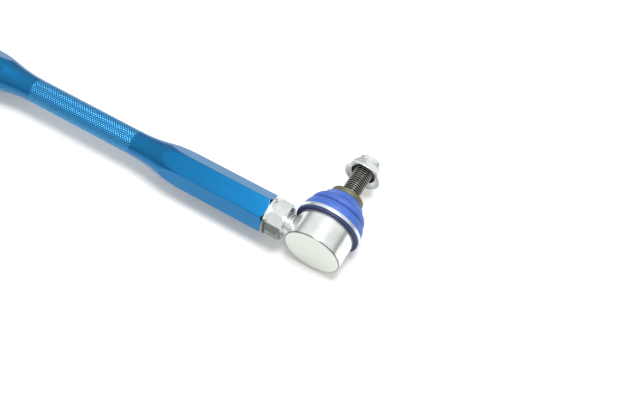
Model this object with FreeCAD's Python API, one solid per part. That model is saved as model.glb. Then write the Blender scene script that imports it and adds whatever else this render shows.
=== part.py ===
import FreeCAD, Part
import math
import os

# Adjustable sway bar end link, lying on its side on a surface.
# +X runs along the rod, +Y along both ball studs, +Z up. All sizes are in millimetres.
# The origin is on the surface, under the middle of the whole link.
# Each end is drawn about its own stud axis, with the rod leaving it towards -X.

Vector = FreeCAD.Vector
CENTRE = Vector(0, 0, 0)
X_DIR = Vector(1, 0, 0)
Y_DIR = Vector(0, 1, 0)

# rod
body_length = 277.4           # turnbuckle, end face to end face
thread_showing = 3.4          # from the housing's neck to the jam nut, at the setting drawn
body_hex_af = 22.0            # across flats
body_hex_turn = 12.8          # degrees from +Z towards +Y, to its first corner
body_corner_round = 0.5
body_end_chamfer = 1.6        # at 45 degrees, off the corners
grip_radius = 8.45
grip_length = 78.6            # knurled cylinder in the middle
flare_length = 42.0           # from the grip to the full hexagon
bore_spare = 10.0             # bore left beyond the shank's tip, at the setting drawn
bore_countersink = 0.8

# threads, as plain cylinders of their outer size
shank_radius = 7.0            # M14 x 1.5
shank_engaged = 38.0          # inside the turnbuckle
stud_radius = 6.0             # M12 x 1.5
stud_lead_step = 0.2          # how much thinner the stud's thread is past the nut's seat
thread_clearance = 0.03

# lock washer and jam nut on each shank
washer_radius = 12.3
washer_thickness = 1.5
washer_clearance = 0.3
jam_nut_af = 22.0
jam_nut_height = 10.9         # with the round face against the washer
jam_nut_face_height = 0.9
jam_nut_turn = 44.0           # degrees from +Z towards +Y, to its first corner
nut_chamfer_share = 0.96      # radius of a nut's end face, as a share of half its across flats
nut_chamfer_angle = 30.0

# ball joint housing, with heights along the stud from the rod's axis
housing_radius = 18.8
housing_base = -9.7
housing_edge_round = 0.8
boot_seat_height = 5.4        # from the shoulder under the boot's lip to the rolled rim's top
boot_seat_depth = 0.9         # step from the housing's side to the boot's seat
bead_groove_depth = 0.5
bead_groove_rise = 1.8        # over the shoulder
bead_groove_height = 2.0
rim_thickness = 1.6           # rolled over the closing ring
rim_step = 0.6
floor_thickness = 2.3
boss_half_height = 13.5
boss_foot_inset = 1.5         # from the housing's base to the boss's near side
boss_top_inset = 0.8          # from the shoulder to its far side
boss_sinking = 6.2            # how deep in the housing's side the boss starts to taper
neck_stand = 0.2              # from the housing's side to the end of the taper
neck_inset = 0.4              # half the section there, less than the shank's radius

# ball, seat and closing ring
ball_radius = 10.5
ball_clearance = 0.03
seat_wall = 1.8
seat_floor = 1.4              # plastic under the ball
seat_hold = 5.5               # how far the seat wraps the ball past its middle
seat_clearance = 0.03
ring_thickness = 2.0
ring_width = 1.3              # how far the closing ring reaches past the seat
ring_clearance = 0.25         # from the ball to the closing ring's opening
rim_overlap = 1.0             # how far the rolled rim covers the closing ring

# stud
stud_neck_radius = 5.4
stud_neck_reach = 12.5        # from the ball's centre to the neck's end
shoulder_radius = 8.4         # inside the boot's top
shoulder_rise = 5.5           # cone from the neck to the shoulder
collar_radius = 11.1
collar_thickness = 3.5
collar_chamfer = 0.4
collar_face = 35.2            # where a bracket seats
bracket_room = 18.4           # from the collar's face to the nut's
nut_to_tip = 10.7
tip_chamfer = 1.0

# boot, its clamp ring and its top ring
lip_stand = 2.6               # past the housing's side
lip_height = 1.7
clamp_stand = 2.7             # past the housing's side
clamp_thickness = 1.2
clamp_height = 2.4
boot_wall = 1.3
boot_swell = 1.1              # from the housing's rim to the inside of the lowest fold
boot_cap_wall = 1.0           # rubber round the top ring
boot_cap_height = 1.0         # from the last fold to the boot's top
boot_folds = (                # shares of the way out from cap to lowest fold, and up from the clamp
    (1.0, 0.03),
    (1.02, 0.175),
    (0.98, 0.31),
    (0.71, 0.39),
    (0.83, 0.485),
    (0.75, 0.64),
    (0.5, 0.77),
    (0.33, 0.89),
    (0.24, 1.0),
)
boot_gap = 0.1
top_ring_width = 1.5
top_ring_height = 2.2
boot_top_lip = 0.6            # rubber over the top ring

# flange nut with its nylon insert
nut_wall = 3.0                # from the stud's thread to the hexagon's flats
nut_flange_stand = 3.6        # past the flats
nut_flange_edge = 1.4
nut_flange_height = 3.6
nut_flange_lip = 0.4          # flat rim round the dished bearing face
nut_dish = 1.7                # how far the bearing face rises towards the thread
nut_hex_height = 7.4          # hexagon's top, under the round cup for the insert
nut_height = 11.0
nut_bearing_inset = 0.8       # from the hexagon's flats to the recess under the nut
nut_recess_depth = 1.5
cup_inset = 0.3               # from the hexagon's flats to the insert's cup
cup_wall = 0.8
insert_height = 2.6
insert_cover = 0.5            # rolled edge of the nut over the insert
insert_lap = 0.7
insert_clearance = 0.03

# places that follow from the sizes
neck_half = shank_radius - neck_inset
boss_start = housing_radius - boss_sinking     # from the stud's axis, as are the next four
neck_end = housing_radius + neck_stand
jam_nut_outer = neck_end + thread_showing
washer_outer = jam_nut_outer + jam_nut_height
rod_end = washer_outer + washer_thickness      # the turnbuckle's face
half_span = body_length / 2 + rod_end
shank_tip = rod_end + shank_engaged
cavity_floor = housing_base + floor_thickness
ball_height = cavity_floor + seat_floor + ball_radius
seat_radius = ball_radius + seat_wall
seat_top = ball_height + seat_hold
ring_opening = math.sqrt(ball_radius ** 2 - seat_hold ** 2) + ring_clearance
ring_radius = seat_radius + ring_width
ring_top = seat_top + ring_thickness
rim_top = ring_top + rim_thickness
shoulder_height = rim_top - boot_seat_height
boot_seat_radius = housing_radius - boot_seat_depth
bead_groove_start = shoulder_height + bead_groove_rise
bead_groove_end = bead_groove_start + bead_groove_height
lip_radius = housing_radius + lip_stand
lip_top = shoulder_height + lip_height
clamp_radius = housing_radius + clamp_stand
clamp_inner = clamp_radius - clamp_thickness
clamp_base = lip_top + boot_gap
clamp_top = clamp_base + clamp_height
collar_base = collar_face - collar_thickness
boot_top = collar_base - boot_gap
top_ring_top = boot_top - boot_top_lip
top_ring_base = top_ring_top - top_ring_height
top_ring_radius = shoulder_radius + top_ring_width
stud_lead_radius = stud_radius - stud_lead_step
stud_neck_top = ball_height + stud_neck_reach
shoulder_start = stud_neck_top + shoulder_rise
nut_seat = collar_face + bracket_room
stud_tip = nut_seat + nut_to_tip
nut_af = 2 * (stud_radius + nut_wall)
nut_flange_radius = nut_af / 2 + nut_flange_stand
nut_recess_radius = nut_af / 2 - nut_bearing_inset
cup_radius = nut_af / 2 - cup_inset
insert_radius = cup_radius - cup_wall
insert_base = nut_height - insert_cover - insert_height


def corner_radius(across_flats):
    return across_flats / math.sqrt(3)


def side_reach(across_flats, turn):
    """How far a hexagonal bar along X reaches towards +Y or -Y."""
    turns = [math.radians(turn + 60 * step) for step in range(6)]
    return corner_radius(across_flats) * max(math.sin(angle) for angle in turns)


def hexagon(across_flats, length, turn, axis):
    """Hexagonal prism along axis, its first corner turned from +Z."""
    points = []
    for step in range(7):
        angle = math.radians(turn + 60 * step)
        across = corner_radius(across_flats) * math.sin(angle)
        up = corner_radius(across_flats) * math.cos(angle)
        points.append(Vector(0, across, up) if axis == X_DIR else Vector(across, 0, up))
    return Part.Face(Part.makePolygon(points)).extrude(axis * length)


def revolved(outline, axis):
    """Solid turned about axis, from the (radius, place along the axis) corners of its half section."""
    corners = []
    for radius, place in outline + outline[:1]:
        corners.append(Vector(place, 0, radius) if axis == X_DIR else Vector(radius, place, 0))
    return Part.Face(Part.makePolygon(corners)).revolve(CENTRE, axis, 360)


def cylinder(radius, start, end, axis):
    return Part.makeCylinder(radius, end - start, axis * start, axis)


def tube(inner, outer, start, end, axis):
    return cylinder(outer, start, end, axis).cut(cylinder(inner, start, end, axis))


def countersink(radius, mouth, inward):
    """Cone to cut at a bore's mouth along X, widening towards the mouth."""
    wide = radius + bore_countersink
    deep = mouth + inward * bore_countersink
    return revolved([(0, mouth), (wide, mouth), (radius, deep), (0, deep)], X_DIR)


def turned_down(across_flats, start, end, both_ends):
    """Double cone that takes the corners off a nut's end faces."""
    corner = corner_radius(across_flats)
    flat = nut_chamfer_share * across_flats / 2
    drop = (corner - flat) * math.tan(math.radians(nut_chamfer_angle))
    first = [(flat, start), (corner, start + drop)] if both_ends else [(corner, start)]
    return [(0, start)] + first + [(corner, end - drop), (flat, end), (0, end)]


def flare_edge(start, end):
    """Edges of one half of the body's outline, an S of two arcs from the grip up to the hexagon."""
    middle = (start + end) * 0.5
    run = (end.x - start.x) / 2
    rise = (end.z - start.z) / 2
    bend = (run * run + rise * rise) / (2 * rise)
    half_turn = math.asin(run / bend) / 2
    dip = Vector(bend * math.sin(half_turn), 0, bend * (1 - math.cos(half_turn)))
    return [Part.Arc(start, start + dip, middle).toShape(), Part.Arc(middle, end - dip, end).toShape()]


def turnbuckle():
    """Hexagonal body, waisted to a round grip, with a bore at each end."""
    half = body_length / 2
    outer = corner_radius(body_hex_af)
    blank = hexagon(body_hex_af, body_length, body_hex_turn, X_DIR)
    blank.translate(X_DIR * -half)
    long_edges = [edge for edge in blank.Edges if edge.Length > body_length / 2]
    blank = blank.makeFillet(body_corner_round, long_edges)
    grip_end = Vector(grip_length / 2, 0, grip_radius)
    flare_end = Vector(grip_length / 2 + flare_length, 0, outer)
    points = [flare_end, Vector(half - body_end_chamfer, 0, outer)]
    points += [Vector(half, 0, outer - body_end_chamfer), Vector(half, 0, 0)]
    points += [CENTRE, Vector(0, 0, grip_radius), grip_end]
    edges = flare_edge(grip_end, flare_end)
    edges += [Part.LineSegment(one, other).toShape() for one, other in zip(points, points[1:])]
    section = Part.Face(Part.Wire(Part.__sortEdges__(edges)))
    envelope = section.revolve(CENTRE, X_DIR, 360)
    envelope = envelope.fuse(envelope.rotated(CENTRE, Y_DIR, 180))
    body = blank.common(envelope)
    bore = shank_radius + thread_clearance
    for side in (1, -1):
        depth = half - shank_engaged - bore_spare
        drill = [(0, half), (bore, half), (bore, depth), (0, depth - bore / 2)]
        cut = revolved(drill, X_DIR).fuse(countersink(bore, half, -1))
        body = body.cut(cut if side == 1 else cut.rotated(CENTRE, Y_DIR, 180))
    return body.removeSplitter()


def lock_washer():
    return tube(shank_radius + washer_clearance, washer_radius, -rod_end, -washer_outer, X_DIR)


def jam_nut():
    start, end = -washer_outer, -jam_nut_outer
    hex_start = start + jam_nut_face_height
    blank = hexagon(jam_nut_af, end - hex_start, jam_nut_turn, X_DIR)
    blank.translate(X_DIR * hex_start)
    nut = blank.common(revolved(turned_down(jam_nut_af, hex_start, end, True), X_DIR))
    nut = nut.fuse(cylinder(nut_chamfer_share * jam_nut_af / 2, start, hex_start, X_DIR)).removeSplitter()
    bore = shank_radius + thread_clearance
    nut = nut.cut(cylinder(bore, start, end, X_DIR))
    return nut.cut(countersink(bore, start, 1)).cut(countersink(bore, end, -1))


def boss():
    """Forged wedge from the housing's side down to the neck."""
    near = housing_base + boss_foot_inset
    far = shoulder_height - boss_top_inset
    wires = []
    for reach, low, high, half in (
        (0, near, far, boss_half_height),
        (boss_start, near, far, boss_half_height),
        (neck_end, -neck_half, neck_half, neck_half),
    ):
        corners = [(low, -half), (high, -half), (high, half), (low, half), (low, -half)]
        wires.append(Part.makePolygon([Vector(-reach, y, z) for y, z in corners]))
    return Part.makeLoft(wires, True, True)


def housing():
    """Closed cup with its boss and threaded shank in one forging."""
    side = cylinder(housing_radius, housing_base, shoulder_height, Y_DIR)
    foot = [edge for edge in side.Edges if abs(edge.BoundBox.YMax - housing_base) < 0.001]
    side = side.makeFillet(housing_edge_round, foot[:1])
    top = [(0, cavity_floor), (boot_seat_radius, cavity_floor), (boot_seat_radius, bead_groove_start)]
    groove_radius = boot_seat_radius - bead_groove_depth
    top += [(groove_radius, bead_groove_start), (groove_radius, bead_groove_end)]
    top += [(boot_seat_radius, bead_groove_end), (boot_seat_radius, rim_top - rim_step)]
    top += [(boot_seat_radius - rim_step, rim_top), (0, rim_top)]
    shank = [(0, -shank_tip), (shank_radius - tip_chamfer, -shank_tip)]
    shank += [(shank_radius, -shank_tip + tip_chamfer), (shank_radius, 0), (0, 0)]
    body = side.fuse([revolved(top, Y_DIR), boss(), revolved(shank, X_DIR)])
    cavity = [(0, cavity_floor), (seat_radius + seat_clearance, cavity_floor)]
    cavity += [(seat_radius + seat_clearance, seat_top), (ring_radius, seat_top), (ring_radius, ring_top)]
    cavity += [(ring_radius - rim_overlap, ring_top), (ring_radius - rim_overlap, rim_top), (0, rim_top)]
    return body.cut(revolved(cavity, Y_DIR)).removeSplitter()


def ball_seat():
    """Plastic cup that wraps the ball past its middle."""
    block = cylinder(seat_radius, cavity_floor + seat_clearance, seat_top - seat_clearance, Y_DIR)
    return block.cut(Part.makeSphere(ball_radius + ball_clearance, Y_DIR * ball_height))


def closing_ring():
    return tube(ring_opening, ring_radius, seat_top, ring_top, Y_DIR)


def ball_stud():
    """Ball, neck, collar and threaded stud in one forging."""
    outline = [(0, ball_height), (stud_neck_radius, ball_height), (stud_neck_radius, stud_neck_top)]
    outline += [(shoulder_radius, shoulder_start), (shoulder_radius, collar_base)]
    eased = collar_radius - collar_chamfer
    outline += [(eased, collar_base), (collar_radius, collar_base + collar_chamfer)]
    outline += [(collar_radius, collar_face - collar_chamfer), (eased, collar_face)]
    outline += [(stud_radius, collar_face), (stud_radius, nut_seat), (stud_lead_radius, nut_seat)]
    outline += [(stud_lead_radius, stud_tip - tip_chamfer), (stud_lead_radius - tip_chamfer, stud_tip)]
    outline += [(0, stud_tip)]
    ball = Part.makeSphere(ball_radius, Y_DIR * ball_height)
    return ball.fuse(revolved(outline, Y_DIR)).removeSplitter()


def boot_top_ring():
    return tube(shoulder_radius + boot_gap / 2, top_ring_radius, top_ring_base, top_ring_top, Y_DIR)


def boot_clamp_ring():
    return tube(clamp_inner, clamp_radius, clamp_base, clamp_top, Y_DIR)


def dust_boot():
    """Bellows from the lip on the housing up to the stud's collar."""
    pocket = top_ring_radius + boot_gap
    cap_radius = pocket + boot_cap_wall
    way_out = boot_seat_radius + boot_swell + boot_wall - cap_radius
    way_up = boot_top - boot_cap_height - clamp_top
    folds = [(cap_radius + out * way_out, clamp_top + up * way_up) for out, up in boot_folds]
    pocket_floor = top_ring_base - boot_gap
    inner_folds = [(radius - boot_wall, height) for radius, height in folds if height < pocket_floor]
    seat = boot_seat_radius + boot_gap / 2
    bead = seat - bead_groove_depth
    foot = shoulder_height + boot_gap / 2
    under_clamp = clamp_inner - boot_gap / 2
    throat = shoulder_radius + boot_gap
    outline = [(seat, foot), (lip_radius, foot), (lip_radius, lip_top), (under_clamp, lip_top)]
    outline += [(under_clamp, clamp_top)] + folds + [(cap_radius, boot_top)]
    outline += [(throat, boot_top), (throat, top_ring_top + boot_gap)]
    outline += [(pocket, top_ring_top + boot_gap), (pocket, pocket_floor)]
    outline += inner_folds[::-1] + [(seat, clamp_top), (seat, bead_groove_end - boot_gap)]
    outline += [(bead, bead_groove_end - boot_gap), (bead, bead_groove_start + boot_gap)]
    outline += [(seat, bead_groove_start + boot_gap)]
    return revolved(outline, Y_DIR)


def lock_nut():
    """Flange nut with a dished bearing face, and a round cup rolled over its insert."""
    hexagonal = hexagon(nut_af, nut_hex_height, 0, Y_DIR)
    hexagonal = hexagonal.common(revolved(turned_down(nut_af, 0, nut_hex_height, False), Y_DIR))
    hexagonal = hexagonal.fuse(cylinder(cup_radius, 0, nut_height, Y_DIR))
    flange = [(0, 0), (nut_flange_radius, 0), (nut_flange_radius, nut_flange_edge)]
    flange += [(nut_af / 2, nut_flange_height), (0, nut_flange_height)]
    face_rim = nut_flange_radius - nut_flange_lip
    bore = stud_radius + thread_clearance
    pocket = insert_radius + insert_clearance
    recess_top = nut_dish + nut_recess_depth
    hollow = [(0, 0), (face_rim, 0), (nut_recess_radius, nut_dish), (nut_recess_radius, recess_top)]
    hollow += [(bore, recess_top), (bore, insert_base)]
    hollow += [(pocket, insert_base), (pocket, nut_height - insert_cover)]
    hollow += [(insert_radius - insert_lap, nut_height - insert_cover)]
    hollow += [(insert_radius - insert_lap, nut_height), (0, nut_height)]
    nut = hexagonal.fuse(revolved(flange, Y_DIR)).cut(revolved(hollow, Y_DIR)).removeSplitter()
    nut.translate(Y_DIR * nut_seat)
    return nut


def lock_nut_insert():
    low = nut_seat + insert_base + insert_clearance
    high = nut_seat + nut_height - insert_cover - insert_clearance
    return tube(stud_radius + thread_clearance, insert_radius, low, high, Y_DIR)


END_PIECES = {
    "housing": housing,
    "ball_seat": ball_seat,
    "closing_ring": closing_ring,
    "ball_stud": ball_stud,
    "boot": dust_boot,
    "boot_clamp_ring": boot_clamp_ring,
    "boot_top_ring": boot_top_ring,
    "lock_nut": lock_nut,
    "lock_nut_insert": lock_nut_insert,
    "jam_nut": jam_nut,
    "lock_washer": lock_washer,
}


def rod_axis():
    """A point of the rod's axis over the origin: the link lies on its clamp rings."""
    back = max(side_reach(body_hex_af, body_hex_turn), side_reach(jam_nut_af, jam_nut_turn))
    back = max(back, washer_radius, -housing_base)
    front = max(stud_tip, nut_seat + nut_height)
    return Vector(0, -(front - back) / 2, clamp_radius)


def main():
    os.makedirs("parts", exist_ok=True)
    nodes = {"turnbuckle": turnbuckle()}
    for piece, make in END_PIECES.items():
        shape = make()
        shape.translate(X_DIR * half_span)
        nodes["right_" + piece] = shape
        nodes["left_" + piece] = shape.rotated(CENTRE, Y_DIR, 180)
    for node, shape in nodes.items():
        shape.translate(rod_axis())
        shape.exportStep(f"parts/{node}.step")
        solids = len(shape.Solids)
        print(f"{node:24s} solids {solids}  valid {shape.isValid()}  volume {shape.Volume:.1f}")
    print("stud axes at x %.3f, rod axis at y %.4f z %.4f" % (half_span, rod_axis().y, rod_axis().z))


main()
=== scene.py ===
import bpy
import math
import numpy as np
from mathutils import Matrix, Vector


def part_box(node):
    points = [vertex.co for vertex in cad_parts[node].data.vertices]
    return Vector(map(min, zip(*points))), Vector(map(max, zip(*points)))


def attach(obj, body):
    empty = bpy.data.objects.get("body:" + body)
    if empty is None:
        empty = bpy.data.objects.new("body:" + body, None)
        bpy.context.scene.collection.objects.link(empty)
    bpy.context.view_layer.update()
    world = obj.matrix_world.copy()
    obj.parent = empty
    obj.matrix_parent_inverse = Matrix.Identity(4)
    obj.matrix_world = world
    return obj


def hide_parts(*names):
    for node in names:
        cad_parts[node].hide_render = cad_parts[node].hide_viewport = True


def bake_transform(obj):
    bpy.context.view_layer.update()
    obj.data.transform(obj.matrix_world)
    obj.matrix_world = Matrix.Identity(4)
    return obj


# Looks of an adjustable sway bar end link.
# Blender works in metres, and the pieces' dictionaries hold millimetres.
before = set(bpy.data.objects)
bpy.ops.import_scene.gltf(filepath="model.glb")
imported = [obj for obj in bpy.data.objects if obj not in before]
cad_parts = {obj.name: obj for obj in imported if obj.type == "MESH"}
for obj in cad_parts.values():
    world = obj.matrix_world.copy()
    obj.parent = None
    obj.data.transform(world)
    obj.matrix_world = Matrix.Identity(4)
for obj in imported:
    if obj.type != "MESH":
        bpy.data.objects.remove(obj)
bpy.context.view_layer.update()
mm = 0.001
turn = 2 * math.pi
sideSigns = {"right": 1, "left": -1}


def middleOf(node):
    low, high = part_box(node)
    return (low + high) / 2


rodMiddle = middleOf("turnbuckle")
studAxes = {side: middleOf(side + "_boot_clamp_ring") for side in sideSigns}


def addObject(name, data):
    made = bpy.data.objects.new(name, data)
    bpy.context.scene.collection.objects.link(made)
    return made


def gridMesh(name, points, ringSection=False, sharpAngle=34):
    # points has rows x columns x 3. Columns close on themselves. Rows close too in a ring's section,
    # and otherwise each end is closed by a fan round the middle of its last row.
    rows, columns = points.shape[:2]
    index = np.arange(rows * columns).reshape(rows, columns)
    here = index if ringSection else index[:-1]
    above = np.roll(index, -1, 0) if ringSection else index[1:]
    quads = np.stack([here, np.roll(here, -1, 1), np.roll(above, -1, 1), above], -1).reshape(-1, 4)
    vertices = points.reshape(-1, 3)
    fans = np.zeros((0, 3), int)
    if not ringSection:
        poles = rows * columns + np.arange(2)
        vertices = np.concatenate([vertices, points[[0, -1]].mean(1)])
        first = np.stack([np.roll(index[0], -1), index[0], np.full(columns, poles[0])], -1)
        last = np.stack([index[-1], np.roll(index[-1], -1), np.full(columns, poles[1])], -1)
        fans = np.concatenate([first, last])
    triangles = np.concatenate([quads[:, [0, 1, 2]], quads[:, [0, 2, 3]], fans])
    a, b, c = (vertices[triangles[:, k]] - vertices.mean(0) for k in range(3))
    if np.einsum("ij,ij->i", a, np.cross(b, c)).sum() < 0:
        quads, fans = quads[:, ::-1], fans[:, ::-1]
    mesh = bpy.data.meshes.new(name)
    loops = np.concatenate([quads.ravel(), fans.ravel()]).astype(np.int32)
    starts = np.concatenate([np.arange(len(quads)) * 4, len(quads) * 4 + np.arange(len(fans)) * 3])
    mesh.vertices.add(len(vertices))
    mesh.vertices.foreach_set("co", vertices.astype(np.float32).ravel())
    mesh.loops.add(len(loops))
    mesh.loops.foreach_set("vertex_index", loops)
    mesh.polygons.add(len(starts))
    mesh.polygons.foreach_set("loop_start", starts.astype(np.int32))
    mesh.update(calc_edges=True)
    mesh.validate()
    mesh.shade_smooth()
    mesh.set_sharp_from_angle(angle=math.radians(sharpAngle))
    return addObject(name, mesh)


def rounded(corners, radius, closed=False, steps=4):
    # an outline whose corners are eased by a parabola that leaves each run at the given distance
    corners = np.array(corners, float)
    radii = np.broadcast_to(np.array(radius, float), len(corners))
    before, after = np.roll(corners, 1, 0) - corners, np.roll(corners, -1, 0) - corners
    t = np.linspace(0, 1, steps + 1)[:, None]
    points = []
    for k, corner in enumerate(corners):
        if radii[k] == 0 or (not closed and k in (0, len(corners) - 1)):
            points.append(corner[None])
            continue
        legs = [v * min(radii[k] / max(np.linalg.norm(v), 1e-9), 0.48) for v in (before[k], after[k])]
        start, end = corner + legs[0], corner + legs[1]
        points.append((1 - t) ** 2 * start + 2 * t * (1 - t) * corner + t ** 2 * end)
    return np.concatenate(points)


def divided(outline, step, low=-math.inf, high=math.inf, closed=False):
    # straight runs between two places along the axis are cut into equal parts no longer than step
    outline = np.concatenate([outline, outline[:1]]) if closed else outline
    parts = []
    for one, other in zip(outline, outline[1:]):
        inside = low - 1e-6 <= min(one[1], other[1]) and max(one[1], other[1]) <= high + 1e-6
        count = max(1, math.ceil(np.linalg.norm(other - one) / step)) if inside else 1
        parts.append(one + (other - one) * np.linspace(0, 1, count, endpoint=False)[:, None])
    return np.concatenate(parts + ([] if closed else [outline[-1:]]))


def smoothStep(x):
    # 0 up to 1 along three squares less two cubes
    x = np.clip(x, 0, 1)
    return x * x * (3 - 2 * x)


def softMin(a, b, width):
    # the smaller of two, with a hyperbola's bend where they cross
    return 0.5 * (a + b - np.sqrt((a - b) ** 2 + width ** 2))


def cornerReach(acrossFlats):
    # from a hexagon's middle to its sharp corner
    return acrossFlats / math.sqrt(3)


def hexagonRadius(theta, acrossFlats, cornerRound, firstCorner):
    # distance from the axis to a hexagon whose corners are arcs, at angle theta from +Z
    fromCorner = np.abs((theta - firstCorner + turn / 12) % (turn / 6) - turn / 12)
    arcCentre = (acrossFlats / 2 - cornerRound) / math.cos(turn / 12)
    tangent = math.atan2(cornerRound * 0.5, arcCentre + cornerRound * math.cos(turn / 12))
    flat = acrossFlats / 2 / np.cos(turn / 12 - fromCorner)
    under = np.maximum(cornerRound ** 2 - (arcCentre * np.sin(fromCorner)) ** 2, 0)
    return np.where(fromCorner < tangent, arcCentre * np.cos(fromCorner) + np.sqrt(under), flat)


def hexagonAngles(perFace, firstCorner, crowding=1.9):
    # angles round a hexagon, crowded towards its corners
    half = turn / 12 * (np.arange(perFace // 2 + 1) / (perFace // 2)) ** crowding
    face = np.concatenate([half[:-1], turn / 6 - half[:0:-1]])
    return (firstCorner + face[None] + np.arange(6)[:, None] * turn / 6).ravel()


def threadCut(place, theta, pitch, depth, hand=1, crest=0.14, root=0.2):
    # how deep a helical groove lies under the crest: a trapezium wave of place minus turn
    phase = np.abs((place / pitch - hand * theta / turn) % 1 - 0.5) * 2
    return depth * np.clip((phase - crest) / (1 - crest - root), 0, 1)


def between(place, low, high, fade):
    # 1 from low to high, eased to 0 over a fade inside each end
    return smoothStep((place - low) / fade) * smoothStep((high - place) / fade)


def rodPoints(radius, place, theta):
    # the rod's own lathe: place runs along +X from the rod's middle
    place = np.broadcast_to(place, radius.shape)
    points = np.stack([place, radius * np.sin(theta), radius * np.cos(theta)], -1) * mm
    return points + np.array(rodMiddle)


def endPoints(side, along, out, up):
    # along runs from a stud's axis towards the rod's middle, out along the stud, up is +Z.
    # The left end is the right one turned half round its stud's direction.
    sign = sideSigns[side]
    along, out, up = np.broadcast_arrays(along, out, up)
    points = np.stack([-sign * along, out, sign * up], -1) * mm
    return points + np.array([studAxes[side].x, rodMiddle.y, rodMiddle.z])


def aboutStud(side, radius, place, theta):
    # a lathe round the stud's axis: place runs out along the stud
    return endPoints(side, radius * np.sin(theta), place, radius * np.cos(theta))


def aboutShank(side, radius, place, theta):
    # a lathe round the rod's axis: place runs from the stud's axis towards the rod's middle
    return endPoints(side, place, radius * np.sin(theta), radius * np.cos(theta))


def evenAngles(columns):
    return np.arange(columns) / columns * turn


def turned(name, side, section, columns, about, **meshing):
    # a section of (radius, place) rows carried once round an axis
    radius = np.repeat(section[:, :1], columns, 1)
    points = about(side, radius, section[:, 1:], evenAngles(columns)[None])
    return gridMesh(side + name, points, **meshing)


body = dict(acrossFlats=22.0, cornerRound=0.5, firstCorner=math.radians(12.8), length=277.4, endChamfer=1.6,
            gripRadius=8.43, gripLength=78.6, flareLength=42.0, flareSlope=0.04, edgeSoftness=0.1,
            boreRadius=7.03, boreDepth=48.0, drillPoint=3.5, countersink=0.8,
            knurlsAround=24, knurlsAlong=44, knurlSamples=6, knurlDepth=0.34,
            crowdLength=20.0, flareRows=76, flatRows=8,
            endRows=(3.4, 2.3, 2.0, 1.7, 1.5, 1.3, 1.1, 0.9, 0.6, 0.3, 0.0))


def flareProfile(place):
    # the waist's round outline: the grip, an S of two equal arcs up to the hexagon's corners, then clear of
    # them on a slight slope
    rise = cornerReach(body["acrossFlats"]) - body["gripRadius"]
    half = body["flareLength"] / 2
    bend = (half ** 2 + (rise / 2) ** 2) / rise
    x = np.abs(place) - body["gripLength"] / 2
    lower = bend - np.sqrt(bend ** 2 - np.clip(x, 0, half) ** 2)
    upper = rise - bend + np.sqrt(bend ** 2 - np.clip(2 * half - x, 0, half) ** 2)
    beyond = np.clip(x - 2 * half, 0, None)
    return body["gripRadius"] + np.where(x < half, lower, upper) + beyond * body["flareSlope"]


def makeTurnbuckle():
    # A grid round the rod: r(x, angle) is the softer smaller of the hexagon and the waist's outline.
    # On the grip, two families of helical grooves leave rows of small pyramids.
    b, samples = body, body["knurlSamples"]
    columns, knurlRows = samples * b["knurlsAround"], samples * b["knurlsAlong"]
    grip = np.linspace(-0.5, 0.5, knurlRows + 1) * b["gripLength"]
    end = b["length"] / 2
    flareEnd = b["gripLength"] / 2 + b["flareLength"]
    endRows = end - np.array(b["endRows"])
    arm = np.concatenate([np.linspace(grip[-1] + 0.3, flareEnd + 4, b["flareRows"]),
                          np.linspace(flareEnd + 10, endRows[0], b["flatRows"]), endRows[1:]])
    place = np.concatenate([-arm[::-1], grip, arm])[:, None]
    crowded = hexagonAngles(columns // 6, b["firstCorner"])[None]
    even = b["firstCorner"] + evenAngles(columns)[None]
    theta = even + (crowded - even) * smoothStep((np.abs(place) - b["gripLength"] / 2) / b["crowdLength"])
    hexagonal = hexagonRadius(theta, b["acrossFlats"], b["cornerRound"], b["firstCorner"])
    chamfer = cornerReach(b["acrossFlats"]) - b["endChamfer"] + (end - np.abs(place))
    waist = np.minimum(flareProfile(place), np.where(np.abs(place) > flareEnd, chamfer, np.inf))
    radius = softMin(hexagonal, waist, b["edgeSoftness"])
    row = np.arange(len(place))[:, None] - len(arm)
    phases = [row + hand * np.arange(columns)[None] for hand in (1, -1)]
    waves = [np.abs(phase % samples - samples / 2) / (samples / 2) for phase in phases]
    knurled = (row >= 1) & (row <= knurlRows - 1)
    radius = radius - np.where(knurled, b["knurlDepth"] * np.maximum(*waves), 0)
    bore, depth, widening = b["boreRadius"], end - b["boreDepth"], b["countersink"]
    inner = np.array([(0.01, depth - b["drillPoint"]), (bore, depth), (bore, end - widening),
                      (bore + widening, end)])
    radius = np.concatenate([np.tile(inner[:, :1], columns), radius, np.tile(inner[::-1, :1], columns)])
    place = np.concatenate([-inner[:, 1:], place, inner[::-1, 1:]])
    theta = np.concatenate([theta[:1]] * len(inner) + [theta] + [theta[-1:]] * len(inner))
    made = gridMesh("body", rodPoints(radius, place, theta), sharpAngle=28)
    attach(made, "turnbuckle")
    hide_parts("turnbuckle")
    return made


cup = dict(radius=18.8, base=-9.7, baseDish=0.12, dishRadius=15.0, edge=0.55, shoulder=8.55,
           shoulderEdge=0.35, seatRadius=17.9, groove=(10.0, 12.0), grooveDepth=0.5, rim=13.6, rimEase=0.6,
           mouth=12.6, cavity=-7.4, cavityRadius=12.33, seatTop=10.0, ringRadius=13.6, ringTop=12.0,
           columns=192)
boss = dict(low=-8.2, high=7.4, halfHeight=13.9, taperStart=12.6, taperEnd=19.0, neckRadius=7.0,
            squareness=14.0, buried=(6.0, 9.0, 12.0), taperRows=26, columns=144)
shank = dict(radius=7.0, pitch=1.5, depth=0.92, tip=72.8, chamfer=1.0, columns=72)


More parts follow.
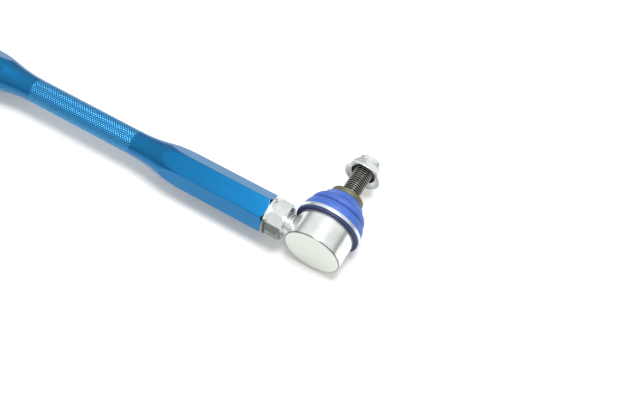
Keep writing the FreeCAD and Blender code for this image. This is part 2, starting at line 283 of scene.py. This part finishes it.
def makeCup(side):
    # turned about the stud's axis: outer wall, eased foot, slightly dished base and the cavity for the seat
    c = cup
    grooveRadius = c["seatRadius"] - c["grooveDepth"]
    outline = [(0.05, c["base"] + c["baseDish"]), (c["dishRadius"] - 1.5, c["base"] + c["baseDish"]),
               (c["dishRadius"], c["base"]), (c["radius"], c["base"]), (c["radius"], c["shoulder"]),
               (c["seatRadius"], c["shoulder"]), (c["seatRadius"], c["groove"][0]),
               (grooveRadius, c["groove"][0]), (grooveRadius, c["groove"][1]),
               (c["seatRadius"], c["groove"][1]), (c["seatRadius"], c["rim"] - c["rimEase"]),
               (c["seatRadius"] - c["rimEase"], c["rim"]), (c["mouth"], c["rim"]), (c["mouth"], c["ringTop"]),
               (c["ringRadius"], c["ringTop"]), (c["ringRadius"], c["seatTop"]),
               (c["cavityRadius"], c["seatTop"]), (c["cavityRadius"], c["cavity"]), (0.05, c["cavity"])]
    eases = [0, 0.8, 0.4, c["edge"], c["shoulderEdge"]] + [0.15] * 6 + [0.4, 0.4] + [0] * 6
    return turned("Cup", side, divided(rounded(outline, eases, steps=6), 3.0), c["columns"], aboutStud)


def makeBoss(side):
    # Sections across the rod, from a tall flat-sided block inside the cup to a round neck.
    # Each is a superellipse |y/a|^n + |z/b|^n = 1 whose exponent falls to 2 at the neck.
    b = boss
    taper = np.linspace(b["taperStart"], b["taperEnd"], b["taperRows"])
    along = np.concatenate([b["buried"], taper, [b["taperEnd"] + 0.5]])[:, None]
    theta = evenAngles(b["columns"])[None]
    fall = np.clip((along - b["taperStart"]) / (b["taperEnd"] - b["taperStart"]), 0, 1)
    halfUp = b["halfHeight"] + (b["neckRadius"] - b["halfHeight"]) * fall
    halfOut = (b["high"] - b["low"]) / 2 * (1 - fall) + b["neckRadius"] * fall
    middle = (b["high"] + b["low"]) / 2 * (1 - fall)
    power = 2 + b["squareness"] * (1 - fall) ** 1.6
    c, s = np.cos(theta), np.sin(theta)
    reach = (np.abs(s / halfOut) ** power + np.abs(c / halfUp) ** power) ** (-1 / power)
    points = endPoints(side, along, middle + reach * s, reach * c)
    return gridMesh(side + "Boss", points, sharpAngle=40)


def makeShank(side):
    # the shank's helical thread: a trapezium groove under the major radius, running out towards the neck
    s, start = shank, boss["taperEnd"] - 1.0
    outline = [(0.05, start), (s["radius"], start), (s["radius"], s["tip"] - s["chamfer"]),
               (s["radius"] - s["chamfer"], s["tip"]), (0.05, s["tip"])]
    section = divided(np.array(outline), s["pitch"] / 12, start, s["tip"])
    theta = evenAngles(s["columns"])[None]
    place, line = section[:, 1:], section[:, :1]
    cut = threadCut(place, theta, s["pitch"], s["depth"], sideSigns[side])
    cut = cut * between(place, boss["taperEnd"] - 0.6, s["tip"] + 1, 0.8)
    radius = np.minimum(line, np.where(line > 1, s["radius"] - cut, np.inf))
    return gridMesh(side + "Shank", aboutShank(side, radius, place, theta), sharpAngle=60)


def makeHousing(side):
    made = [makeCup(side), makeBoss(side), makeShank(side)]
    for piece in made:
        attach(piece, side + "_end")
        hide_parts(side + "_housing")
    return made


stud = dict(ballRadius=10.5, ballHeight=4.5, ballRows=40, neckRadius=5.4, neckTop=17.0, shoulderRadius=8.4,
            shoulderStart=22.5, collarRadius=11.1, collarBase=31.7, collarFace=35.2, collarEase=0.5,
            radius=6.0, pitch=1.5, depth=0.92, threadStart=35.5, tip=64.3, tipChamfer=1.0, centreHole=1.6,
            columns=96)


def makeStud(side):
    # turned about its own axis: ball, neck and collar, then a helical thread up to a chamfered tip with a
    # centre hole
    s = stud
    low = math.asin(s["neckRadius"] / s["ballRadius"])
    arc = np.linspace(0.01, math.pi - low, s["ballRows"])
    ball = np.stack([s["ballRadius"] * np.sin(arc), s["ballHeight"] - s["ballRadius"] * np.cos(arc)], -1)
    outline = [(s["neckRadius"], s["neckTop"]), (s["shoulderRadius"], s["shoulderStart"]),
               (s["shoulderRadius"], s["collarBase"]), (s["collarRadius"], s["collarBase"]),
               (s["collarRadius"], s["collarFace"]), (s["radius"], s["collarFace"]),
               (s["radius"], s["tip"] - s["tipChamfer"]), (s["radius"] - s["tipChamfer"], s["tip"]),
               (s["centreHole"], s["tip"]), (0.05, s["tip"] - s["centreHole"])]
    shaft = rounded(outline, [0, 2, 0.3, s["collarEase"], s["collarEase"], 0.35, 0.2, 0.2, 0, 0])
    section = divided(np.concatenate([ball, shaft]), s["pitch"] / 12, s["collarFace"], s["tip"])
    theta = evenAngles(s["columns"])[None]
    place, line = section[:, 1:], section[:, :1]
    cut = threadCut(place, theta, s["pitch"], s["depth"])
    cut = cut * between(place, s["threadStart"], s["tip"] + 1, 0.9)
    threaded = (line > s["radius"] - s["tipChamfer"] - 0.1) & (place > s["collarFace"])
    radius = np.where(threaded, np.minimum(line, s["radius"] - cut), line + 0 * theta)
    made = gridMesh(side + "Stud", aboutStud(side, radius, place, theta), sharpAngle=50)
    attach(made, side + "_stud")
    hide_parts(side + "_ball_stud")
    return made


# each fold is its radius, its place along the stud and how far its corner is eased
boot = dict(seat=17.95, lip=21.35, foot=8.6, lipTop=9.9, underBand=20.25, bandTop=12.4, wall=1.25,
            top=31.6, topRadius=11.0, topBore=8.5, topLip=0.5, pocket=10.0, pocketLow=28.7, columns=144,
            folds=((20.3, 12.9, 0.3), (20.55, 15.6, 1.6), (20.1, 18.1, 0.9), (17.6, 19.4, 0.35),
                   (18.75, 21.2, 0.9), (18.1, 23.6, 0.5), (17.6, 24.0, 0.2), (17.5, 24.6, 0.5),
                   (15.6, 26.5, 1.0), (14.0, 28.5, 0.4), (13.5, 28.9, 0.2), (13.6, 29.7, 0.3),
                   (12.8, 30.6, 0.3), (12.3, 30.8, 0.2)))
band = dict(inner=20.3, outer=21.5, base=10.0, height=2.4, ease=0.25, columns=144)


def makeBoot(side):
    # a bellows turned about the stud: the outer folds, the bore at the top, and the inner wall one rubber's
    # thickness in
    b = boot
    under = [(radius - b["wall"], place, ease) for radius, place, ease in b["folds"]
             if place < b["pocketLow"]]
    pocketTop = b["top"] - b["topLip"]
    section = [(b["seat"], b["foot"], 0.2), (b["lip"], b["foot"], 0.3), (b["lip"], b["lipTop"], 0.3),
               (b["underBand"], b["lipTop"], 0.1), (b["underBand"], b["bandTop"], 0.1), *b["folds"],
               (b["topRadius"], b["top"], 0.4), (b["topBore"], b["top"], 0.3), (b["topBore"], pocketTop, 0),
               (b["pocket"], pocketTop, 0), (b["pocket"], b["pocketLow"], 0.2), *under[::-1],
               (b["seat"], b["bandTop"], 0.2)]
    corners = np.array(section)
    outline = rounded(corners[:, :2], corners[:, 2], closed=True, steps=5)
    made = turned("Boot", side, outline, b["columns"], aboutStud, ringSection=True, sharpAngle=60)
    low, high = (endPoints(side, 0, place, 0) for place in (b["bandTop"], b["folds"][-1][1]))
    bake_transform(made)
    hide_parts(side + "_boot")
    return made


def makeBand(side):
    # a flat steel band, its section eased at the corners
    b = band
    low, high = b["base"], b["base"] + b["height"]
    corners = [(b["inner"], low), (b["outer"], low), (b["outer"], high), (b["inner"], high)]
    section = rounded(corners, b["ease"], closed=True)
    made = turned("Band", side, section, b["columns"], aboutStud, ringSection=True)
    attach(made, side + "_end")
    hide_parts(side + "_boot_clamp_ring")
    return made


flangeNut = dict(acrossFlats=18.0, cornerRound=0.35, seat=53.6, height=11.0, hexTop=7.4, crownStart=0.48,
                 flangeRadius=12.6, flangeEdge=1.4, flangeTop=3.6, faceRim=12.2, dish=1.7,
                 recessRadius=8.2, recessTop=3.2, bore=6.03, pitch=1.5, depth=0.8,
                 cupRadius=8.7, pocket=7.93, pocketLow=7.87, pocketTop=10.5, mouth=7.2, perFace=20)
jamNut = dict(acrossFlats=22.0, cornerRound=0.35, outer=22.4, height=10.9, faceHeight=0.9, bore=7.03,
              pitch=1.5, depth=0.8, countersink=0.8, endRadius=10.56, firstCorner=math.radians(44.0),
              perFace=24)
nutCone = math.tan(math.radians(30))  # slope of the chamfer that turns both nuts' corners down
nutSoftness = 0.12
washer = dict(bore=7.3, radius=12.3, thickness=1.5, ease=0.2, columns=120)


def makeFlangeNut(side):
    # A ring section round the stud: dished bearing face, flange, chamfered hexagon, and the round cup over
    # the insert. Between flange and cup the radius is the larger of the flange's cone and the hexagon.
    n = flangeNut
    corner = cornerReach(n["acrossFlats"])
    outline = [(n["bore"], n["recessTop"]), (n["recessRadius"], n["recessTop"]),
               (n["recessRadius"], n["dish"]), (n["faceRim"], 0),
               (n["flangeRadius"], 0), (n["flangeRadius"], n["flangeEdge"]),
               (corner, n["flangeTop"]), (corner, n["hexTop"] - 0.05), (n["cupRadius"], n["hexTop"]),
               (n["cupRadius"], n["height"]), (n["mouth"], n["height"]), (n["mouth"], n["pocketTop"]),
               (n["pocket"], n["pocketTop"]), (n["pocket"], n["pocketLow"]), (n["bore"], n["pocketLow"])]
    eases = [0, 0.3, 0.25, 0.15, 0.2, 0.5, 0, 0, 0.1, 0.9, 0.2, 0, 0, 0, 0]
    section = rounded(outline, eases, closed=True)
    section = divided(section, n["pitch"] / 8, n["flangeEdge"], n["height"], closed=True)
    theta = hexagonAngles(n["perFace"], 0.0, crowding=1.6)[None]
    place, line = section[:, 1:], section[:, :1]
    hexagonal = hexagonRadius(theta, n["acrossFlats"], n["cornerRound"], 0.0)
    crown = n["acrossFlats"] * n["crownStart"] + (n["hexTop"] - place) / nutCone
    fall = (n["flangeRadius"] - n["acrossFlats"] / 2) / (n["flangeTop"] - n["flangeEdge"])
    cone = n["flangeRadius"] - (place - n["flangeEdge"]) * fall
    shaped = np.maximum(softMin(hexagonal, crown, nutSoftness), cone)
    outside = (place > n["flangeEdge"] + 0.5) & (place < n["hexTop"] - 0.02) & (line > n["cupRadius"] + 0.1)
    radius = np.where(outside, shaped, line + 0 * theta)
    threaded = (line < n["bore"] + 0.05) & (place < n["pocketLow"] + 0.01)
    radius = radius + np.where(threaded, threadCut(place, theta, n["pitch"], n["depth"]), 0)
    points = aboutStud(side, radius, place + n["seat"], theta)
    made = gridMesh(side + "FlangeNut", points, ringSection=True, sharpAngle=32)
    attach(made, side + "_nut")
    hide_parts(side + "_lock_nut")
    return made


def makeJamNut(side):
    # A ring section round the shank: a 30 degree cone turns the hexagon down at both ends, and a low round
    # face stands on the washer's side.
    n = jamNut
    low, high = n["outer"], n["outer"] + n["height"]
    hexHigh = high - n["faceHeight"]
    corner = cornerReach(n["acrossFlats"]) + 0.2
    outline = [(n["bore"] + n["countersink"], low), (n["endRadius"], low), (corner, low + 0.01),
               (corner, hexHigh - 0.01), (n["endRadius"], hexHigh), (n["endRadius"], high),
               (n["bore"] + n["countersink"], high), (n["bore"], high - n["countersink"]),
               (n["bore"], low + n["countersink"])]
    eases = [0.15, 0, 0, 0, 0, 0.2, 0.15, 0, 0]
    section = divided(rounded(outline, eases, closed=True), n["pitch"] / 8, low, high, closed=True)
    theta = hexagonAngles(n["perFace"], n["firstCorner"], crowding=1.6)[None]
    place, line = section[:, 1:], section[:, :1]
    hexagonal = hexagonRadius(theta, n["acrossFlats"], n["cornerRound"], n["firstCorner"])
    cone = n["endRadius"] + np.minimum(place - low, hexHigh - place) / nutCone
    hexed = (line > n["endRadius"] - 0.01) & (place < hexHigh)
    radius = np.where(hexed, softMin(hexagonal, cone, nutSoftness), line + 0 * theta)
    threaded = line < n["bore"] + 0.05
    cut = threadCut(place, theta, n["pitch"], n["depth"], sideSigns[side])
    points = aboutShank(side, radius + np.where(threaded, cut, 0), place, theta)
    made = gridMesh(side + "JamNut", points, ringSection=True, sharpAngle=32)
    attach(made, side + "_jam_nut")
    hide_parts(side + "_jam_nut")
    return made


def makeWasher(side):
    # a flat ring with eased corners, between the jam nut and the body
    w = washer
    low = jamNut["outer"] + jamNut["height"]
    high = low + w["thickness"]
    corners = [(w["bore"], low), (w["radius"], low), (w["radius"], high), (w["bore"], high)]
    section = rounded(corners, w["ease"], closed=True)
    made = turned("Washer", side, section, w["columns"], aboutShank, ringSection=True)
    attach(made, "washers")
    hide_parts(side + "_lock_washer")
    return made


def shade(red, green, blue):
    # a screen colour of 0 to 255 as the linear colour that the shader wants
    levels = np.array([red, green, blue]) / 255
    linear = np.where(levels < 0.04045, levels / 12.92, ((levels + 0.055) / 1.055) ** 2.4)
    return (*linear.tolist(), 1.0)


class Wire:
    # an output socket that adds, subtracts and multiplies as a number does
    def __init__(self, bench, socket):
        self.bench = bench
        self.socket = socket

    def maths(self, operation, *values, clamp=False):
        settings = dict(operation=operation, use_clamp=clamp)
        return self.bench.node("ShaderNodeMath", settings, dict(enumerate(values)))

    def __add__(self, other):
        return self.maths("ADD", self, other)

    def __sub__(self, other):
        return self.maths("SUBTRACT", self, other)

    def __rsub__(self, other):
        return self.maths("SUBTRACT", other, self)

    def __mul__(self, other):
        return self.maths("MULTIPLY", self, other)

    __radd__ = __add__
    __rmul__ = __mul__

    def absolute(self):
        return self.maths("ABSOLUTE", self)

    def lesser(self, other):
        return self.maths("MINIMUM", self, other)

    def clipped(self):
        return self.maths("ADD", self, 0, clamp=True)

    def rise(self, low, high):
        # 0 below low, 1 above high, eased between
        settings = dict(interpolation_type="SMOOTHSTEP")
        return self.bench.node("ShaderNodeMapRange", settings, {0: self, 1: low, 2: high})

    def belt(self, low, full, fading, high):
        # 1 from full to fading, eased down to 0 at low and at high
        return self.rise(low, full) * (1 - self.rise(fading, high))


class Bench:
    # the nodes of one material or world, ending in a shader whose sockets are set by name
    def __init__(self, owner, shader="Principled BSDF", coordinates="Object"):
        owner.use_nodes = True
        self.owner = owner
        self.tree = owner.node_tree
        self.shader = self.tree.nodes[shader]
        self.place = self.node("ShaderNodeTexCoord", {}, {}, coordinates)

    def node(self, kind, settings, sockets, output=0):
        made = self.tree.nodes.new(kind)
        for key, value in settings.items():
            setattr(made, key, value)
        for key, value in sockets.items():
            self.plug(made.inputs[key], value)
        return Wire(self, made.outputs[output])

    def plug(self, socket, value):
        if isinstance(value, Wire):
            self.tree.links.new(value.socket, socket)
        else:
            socket.default_value = value

    def finish(self, **sockets):
        for key, value in sockets.items():
            self.plug(self.shader.inputs[key.replace("_", " ")], value)
        return self.owner

    def axis(self, letter):
        return self.node("ShaderNodeSeparateXYZ", {}, {0: self.place}, letter)

    def vectors(self, operation, *values, output=0):
        return self.node("ShaderNodeVectorMath", dict(operation=operation), dict(enumerate(values)), output)

    def mixed(self, factor, one, other):
        return self.node("ShaderNodeMix", dict(data_type="RGBA"), {0: factor, 6: one, 7: other}, 2)

    def stretched(self, scale, centre):
        # object coordinates about a centre, scaled per axis, so that grain can run one way
        return self.vectors("MULTIPLY", self.vectors("SUBTRACT", self.place, centre), scale)

    def noise(self, scale, detail, roughness, vector=None):
        values = dict(Vector=vector or self.place, Scale=scale, Detail=detail, Roughness=roughness)
        return self.node("ShaderNodeTexNoise", {}, values)

    def bump(self, height, depth):
        return self.node("ShaderNodeBump", {}, dict(Strength=1.0, Distance=depth * mm, Height=height))


def newBench(name):
    return Bench(bpy.data.materials.new(name))


def distanceFrom(bench, side, kept):
    # millimetres from a stud's axis (kept is X and Z) or from the rod's axis (kept is Y and Z)
    moved = bench.vectors("SUBTRACT", bench.place, (studAxes[side].x, rodMiddle.y, rodMiddle.z))
    flat = bench.vectors("MULTIPLY", moved, kept)
    return bench.vectors("LENGTH", flat, output="Value") * (1 / mm)


def distanceFromStuds(bench):
    # millimetres from the nearer stud's axis
    return distanceFrom(bench, "right", (1, 0, 1)).lesser(distanceFrom(bench, "left", (1, 0, 1)))


def outAlongStuds(bench):
    # millimetres from the rod's axis towards the studs' tips
    return (bench.axis("Y") - rodMiddle.y) * (1 / mm)


anodised = dict(blue=shade(0, 107, 162), deep=shade(0, 95, 149), pale=shade(60, 165, 225),
                endChamferShade=shade(6, 24, 48), peakHighlight=shade(76, 178, 226), shadedValley=shade(4, 92, 156),
                roughness=0.28, grain=0.08, patchiness=0.08, grainDepth=0.02)


def anodisedBlue():
    # drawn bar grain along X, dye a little deeper in patches, painted highlights on the knurl's tops, painted
    # shade in its grooves and on the end chamfers
    a, b = anodised, body
    bench = newBench("anodisedBlue")
    grain = bench.noise(1.0, 3.0, 0.6, bench.stretched((40, 900, 900), tuple(rodMiddle)))
    patches = bench.noise(28.0, 3.0, 0.5)
    radius = distanceFrom(bench, "right", (0, 1, 1))
    away = ((bench.axis("X") - rodMiddle.x) * (1 / mm)).absolute()
    dye = bench.mixed(patches.rise(0.35, 0.75) * 0.35, a["blue"], a["deep"])
    dye = bench.mixed(grain.rise(0.55, 0.8) * 0.12, dye, a["pale"])
    # painted highlight on the knurl's tops and painted shade in its grooves
    knurl = 1 - away.rise(b["gripLength"] / 2 - 0.2, b["gripLength"] / 2)
    height = radius.rise(b["gripRadius"] - b["knurlDepth"], b["gripRadius"])
    dye = bench.mixed(knurl, dye, bench.mixed(height, a["shadedValley"], a["peakHighlight"]))
    # painted shade on the end chamfers, where the body meets the washer and nut
    edge = cornerReach(b["acrossFlats"]) - b["endChamfer"] + b["length"] / 2
    colour = bench.mixed((radius + away).rise(edge - 0.2, edge - 0.08), dye, a["endChamferShade"])
    roughness = a["roughness"] + grain * a["grain"] + patches * a["patchiness"]
    return bench.finish(Base_Color=colour, Roughness=roughness, Metallic=0.85, Coat_Weight=0.22,
                        Coat_Roughness=0.14, Normal=bench.bump(grain, a["grainDepth"]))


zinc = dict(bright=shade(240, 244, 242), dull=shade(220, 226, 224), warm=shade(240, 239, 232),
            shaded=shade(40, 52, 46), foot=shade(208, 212, 207), line=shade(96, 102, 98),
            roughness=0.16, grainDepth=0.005)


def zincPlate():
    # bright zinc over a turned or forged surface: cloudy passivation, fine pits, painted shade and a painted
    # reflection of the stud in the flange nut's recess, and on the cup a darker, matt base inside a painted
    # dark reflection along its edge
    z, c, n = zinc, cup, flangeNut
    bench = newBench("zincPlate")
    clouds = bench.noise(60.0, 5.0, 0.6)
    fine = bench.noise(900.0, 3.0, 0.6)
    base = bench.mixed(clouds.rise(0.35, 0.7), z["bright"], z["dull"])
    colour = bench.mixed(fine.rise(0.55, 0.8) * 0.25, base, z["warm"])
    out, radius = outAlongStuds(bench), distanceFromStuds(bench)
    # painted shade and a painted reflection of the stud inside the flange nut's recess
    recess = 1 - radius.rise(n["recessRadius"] - 0.1, n["recessRadius"] + 0.4)
    recess = recess * out.belt(n["seat"] - 3.6, n["seat"] - 3.5, n["seat"] + 3.9, n["seat"] + 4.4)
    colour = bench.mixed(recess, colour, z["shaded"])
    dished, eased, edge = c["base"] + c["baseDish"], c["base"] + c["edge"], c["radius"] - c["edge"]
    foot = 1 - out.rise(dished + 0.01, dished + 0.13)
    # painted dark reflection along the cup's eased bottom edge
    rim = radius.rise(edge - 0.25, edge) * (1 - out.rise(eased, eased + 0.25))
    colour = bench.mixed(rim * 0.8, bench.mixed(foot, colour, z["foot"]), z["line"])
    roughness = z["roughness"] + clouds * 0.1 + fine * 0.05 + foot * 0.15
    return bench.finish(Base_Color=colour, Roughness=roughness, Metallic=0.9,
                        Normal=bench.bump(fine, z["grainDepth"]))


oxide = dict(black=shade(44, 46, 44), paintedHighlight=shade(222, 218, 204), olive=shade(112, 112, 92),
             roughness=0.3, grainDepth=0.01)


def blackSteel():
    # oiled black oxide: a painted highlight on the thread's crests, matt olive where the collar shows
    o, s = oxide, stud
    bench = newBench("blackSteel")
    patches = bench.noise(140.0, 5.0, 0.65)
    fine = bench.noise(1500.0, 2.0, 0.5)
    major, low, high = s["radius"], s["collarBase"], s["collarFace"]
    # painted highlight along the thread's crests
    crest = distanceFromStuds(bench).belt(major - 0.35, major, major + 0.1, major + 0.5)
    collar = outAlongStuds(bench).belt(low - 0.2, low, high + 0.05, high + 0.25)
    base = bench.mixed((patches.rise(0.3, 0.8) * 0.5 + 0.5) * crest * 0.9, o["black"], o["paintedHighlight"])
    colour = bench.mixed(collar, base, o["olive"])
    roughness = o["roughness"] + patches * 0.1 + collar * 0.2
    return bench.finish(Base_Color=colour, Roughness=roughness, Metallic=0.75,
                        Normal=bench.bump(fine, o["grainDepth"]))


# the belts are places along the stud: start, full, fading and end
rubber = dict(blue=shade(52, 92, 176), deep=shade(8, 32, 104), pale=shade(84, 124, 204),
              lip=shade(16, 28, 80), paintedHighlight=shade(50, 64, 118), roughness=0.42, grainDepth=0.02,
              shadedValley=(18.4, 19.3, 19.4, 20.6), shadedCrease=(23.8, 24.1, 24.1, 24.6), top=(29.8, 31.2),
              lipTop=(9.8, 10.0), lipEdge=(8.5, 8.6, 8.9, 9.1), lipSide=(20.9, 21.2))


def blueRubber():
    # moulded rubber: painted shade on the lip under the band, in the folds' valleys and crease and under the
    # collar, a painted highlight on the lip's lower edge, a fine moulded grain
    r = rubber
    bench = newBench("blueRubber")
    out = outAlongStuds(bench)
    patches = bench.noise(90.0, 4.0, 0.6)
    fine = bench.noise(1300.0, 3.0, 0.6)
    # painted shade in the folds' valley and crease, and under the collar
    folds = (out.belt(*r["shadedValley"]) + out.belt(*r["shadedCrease"]) + out.rise(*r["top"]) * 0.8).clipped()
    moulded = bench.mixed(patches.rise(0.3, 0.8) * 0.4, r["blue"], r["pale"])
    moulded = bench.mixed(folds * 0.9, moulded, r["deep"])
    # painted shade on the lip under the band
    colour = bench.mixed(1 - out.rise(*r["lipTop"]), moulded, r["lip"])
    # painted highlight on the lip's lower edge
    edge = out.belt(*r["lipEdge"]) * distanceFromStuds(bench).rise(*r["lipSide"])
    colour = bench.mixed(edge, colour, r["paintedHighlight"])
    return bench.finish(Base_Color=colour, Roughness=r["roughness"] + patches * 0.15, Metallic=0.0,
                        Normal=bench.bump(fine, r["grainDepth"]))


# colour, roughness and metallic
plainFinishes = dict(springSteel=(shade(205, 214, 222), 0.24, 0.9),
                     rolledSteel=(shade(170, 172, 170), 0.35, 0.9),
                     acetal=(shade(226, 224, 214), 0.5, 0.0), nylon=(shade(232, 232, 226), 0.45, 0.0))
carriedOver = dict(ball_seat="acetal", closing_ring="rolledSteel", boot_top_ring="springSteel",
                   lock_nut_insert="nylon")


def plainFinish(name):
    # a moulded or rolled surface with a fine even grain and slight colour change
    colour, roughness, metallic = plainFinishes[name]
    bench = newBench(name)
    patches = bench.noise(110.0, 3.0, 0.5)
    fine = bench.noise(800.0, 2.0, 0.5)
    paler = tuple(min(1.0, level * 1.18) for level in colour[:3]) + (1.0,)
    mixed = bench.mixed(patches.rise(0.3, 0.7), colour, paler)
    return bench.finish(Base_Color=mixed, Roughness=roughness + patches * 0.12, Metallic=metallic,
                        Normal=bench.bump(fine, 0.01))


def dress(piece, material):
    if piece.material_slots:
        for slot in piece.material_slots:
            slot.material = material
    else:
        piece.data.materials.append(material)


def makeLink():
    zincMaterial, blackMaterial, rubberMaterial = zincPlate(), blackSteel(), blueRubber()
    plain = {name: plainFinish(name) for name in plainFinishes}
    dress(makeTurnbuckle(), anodisedBlue())
    print("body made")
    for side in sideSigns:
        for piece in makeHousing(side) + [makeFlangeNut(side), makeJamNut(side), makeWasher(side)]:
            dress(piece, zincMaterial)
        dress(makeStud(side), blackMaterial)
        dress(makeBoot(side), rubberMaterial)
        dress(makeBand(side), plain["springSteel"])
        for node, finish in carriedOver.items():
            dress(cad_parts[side + "_" + node], plain[finish])
        print(side + " end made")


# metres; the key light points at keyAim, from the right stud's axis along X and Y and over the floor
studio = dict(floorSize=8.0, floorColour=(0.93, 0.93, 0.9, 1), floorRoughness=0.9, floorGloss=0.1,
              skyTop=(1.0, 1.0, 1.0, 1), skyLow=(0.16, 0.17, 0.17, 1), sky=0.86, skyFrom=0.05, skyTo=0.45,
              keyPower=6.5, keySize=0.35, keyPlace=(0.1, 0.05, 0.9), keyAim=(-0.05, 0.0, 0.02))
# metres; the camera stands off the point where the right stud's axis crosses the rod's
view = dict(lens=52.26, sensor=36.0, stand=(0.10606, -0.2326, 0.47844), forward=(-0.2217, 0.4517, -0.8642),
            right=(0.8648, 0.5006, 0.0398))


def makeFloor():
    mesh = bpy.data.meshes.new("floor")
    half = studio["floorSize"] / 2
    corners = [(-half, -half, 0), (half, -half, 0), (half, half, 0), (-half, half, 0)]
    mesh.from_pydata(corners, [], [(0, 1, 2, 3)])
    floor = addObject("floor", mesh)
    bench = newBench("paleFloor")
    dress(floor, bench.finish(Base_Color=studio["floorColour"], Roughness=studio["floorRoughness"],
                              Specular_IOR_Level=studio["floorGloss"]))


def makeSky():
    # a pale sky that darkens towards the horizon, which gives bright metal its grey bands
    bench = Bench(bpy.data.worlds.new("softSky"), "Background", "Generated")
    height = bench.axis("Z").rise(studio["skyFrom"], studio["skyTo"])
    bpy.context.scene.world = bench.finish(Color=bench.mixed(height, studio["skyLow"], studio["skyTop"]),
                                           Strength=studio["sky"])


def makeKeyLight():
    # a soft round lamp above the right end
    lamp = bpy.data.lights.new("key", "AREA")
    lamp.shape = "DISK"
    lamp.size = studio["keySize"]
    lamp.energy = studio["keyPower"]
    aimX, aimY, aimZ = studio["keyAim"]
    target = Vector((studAxes["right"].x + aimX, rodMiddle.y + aimY, aimZ))
    away = Vector(studio["keyPlace"])
    facing = (-away).to_track_quat("-Z", "Y").to_matrix().to_4x4()
    addObject("key", lamp).matrix_world = Matrix.Translation(target + away) @ facing


def makeCamera():
    # stands to the right and above, looking down along the link, a little rolled
    lens = bpy.data.cameras.new("camera")
    lens.lens = view["lens"]
    lens.sensor_width = view["sensor"]
    forward, right = Vector(view["forward"]).normalized(), Vector(view["right"]).normalized()
    up = right.cross(forward).normalized()
    axes = Matrix((forward.cross(up).normalized(), up, -forward)).transposed()
    stand = Vector((studAxes["right"].x, rodMiddle.y, rodMiddle.z)) + Vector(view["stand"])
    camera = addObject("camera", lens)
    camera.matrix_world = Matrix.Translation(stand) @ axes.to_4x4()
    bpy.context.scene.camera = camera


makeLink()
makeFloor()
makeSky()
makeKeyLight()
makeCamera()
bpy.context.scene.view_settings.view_transform = "Standard"
print("floor, lights and camera made")
